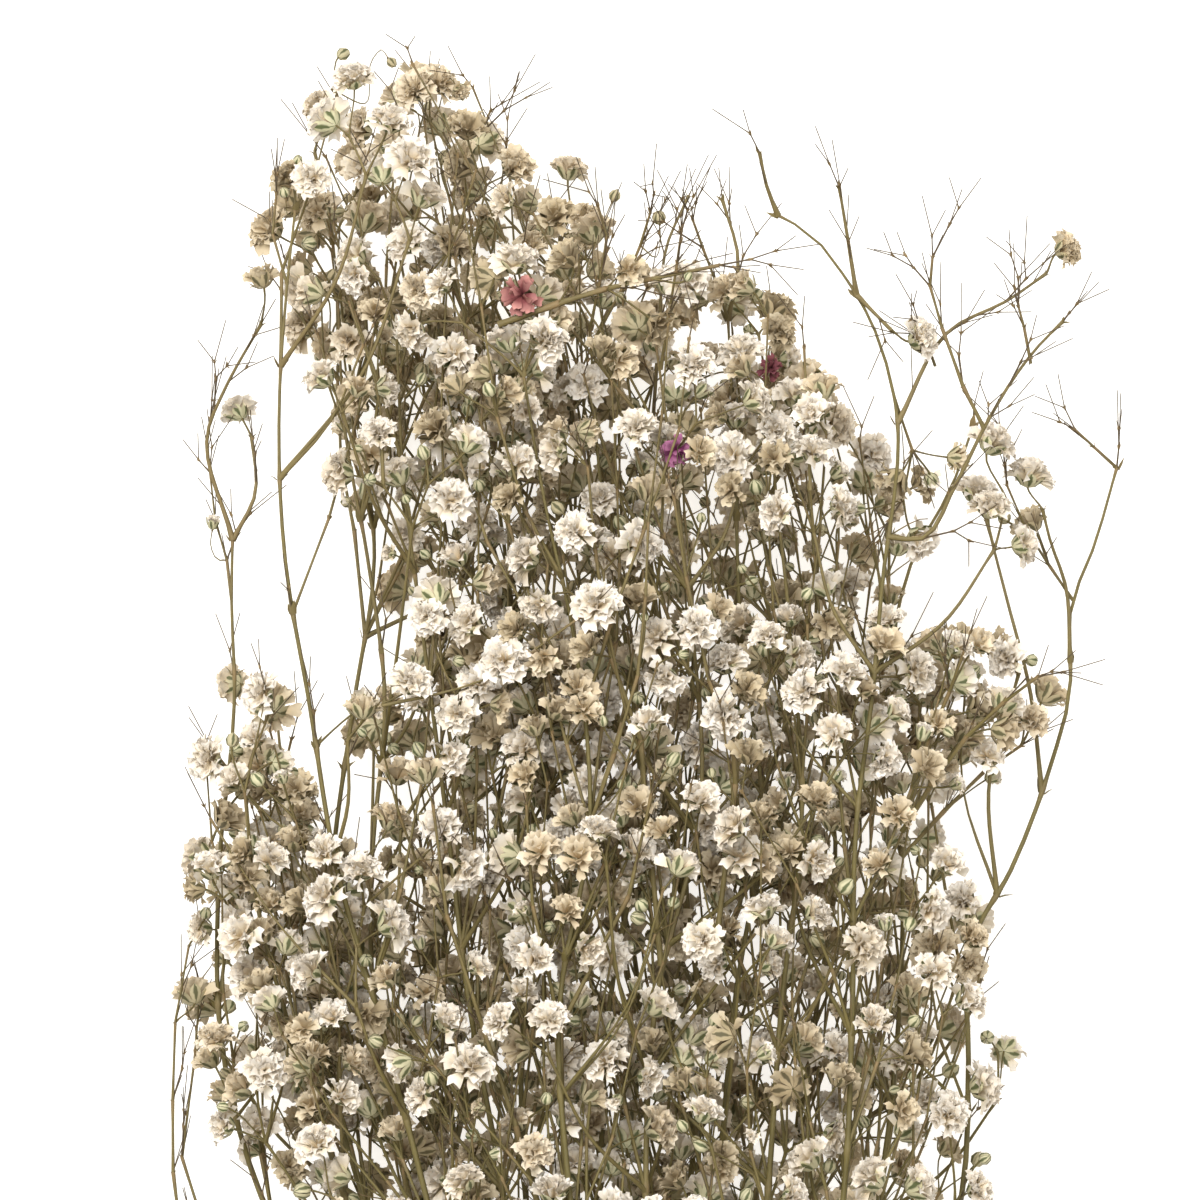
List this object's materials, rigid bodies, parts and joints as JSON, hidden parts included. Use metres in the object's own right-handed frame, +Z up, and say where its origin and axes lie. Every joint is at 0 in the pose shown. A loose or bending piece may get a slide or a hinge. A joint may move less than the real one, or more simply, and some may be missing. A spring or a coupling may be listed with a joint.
{
  "type": "dried gypsophila bunch",
  "caption": "Bunch of dried double gypsophila stems with small cream pompom blooms on thin forked stalks, held by a straw tie and lying flat.",
  "frame": {"origin": "middle of the bunch's footprint on the surface that it lies on", "axes": "+Y along the bunch from the cut ends to the flower tips, +X to the right seen from above, +Z up"},
  "size_m": [0.169, 0.4472, 0.0755],
  "materials": {
    "dried_flower": "matte, papery",
    "straw": "matte, fibrous",
    "pink_petal": "matte, papery",
    "maroon_petal": "matte, papery",
    "purple_petal": "matte, papery"
  },
  "bodies": {
    "root": {"stem_left_long": "dried_flower", "stem_front_middle": "dried_flower", "stem_right_fork": "dried_flower", "stem_left_low": "dried_flower", "stem_left_inner": "dried_flower", "stem_middle_high": "dried_flower", "stem_right_inner": "dried_flower", "stem_far_left": "dried_flower", "stem_left_middle": "dried_flower", "stem_centre": "dried_flower", "stem_right_middle": "dried_flower", "stem_far_right": "dried_flower", "stem_left_back": "dried_flower", "stem_high_back": "dried_flower", "stem_middle_back": "dried_flower", "stem_right_back": "dried_flower", "stem_top_left": "dried_flower", "stem_top_middle": "dried_flower", "stem_right_deep": "dried_flower", "tie": "straw", "floret_pink": "pink_petal", "floret_maroon": "maroon_petal", "floret_purple": "purple_petal"}
  },
  "joints": []
}
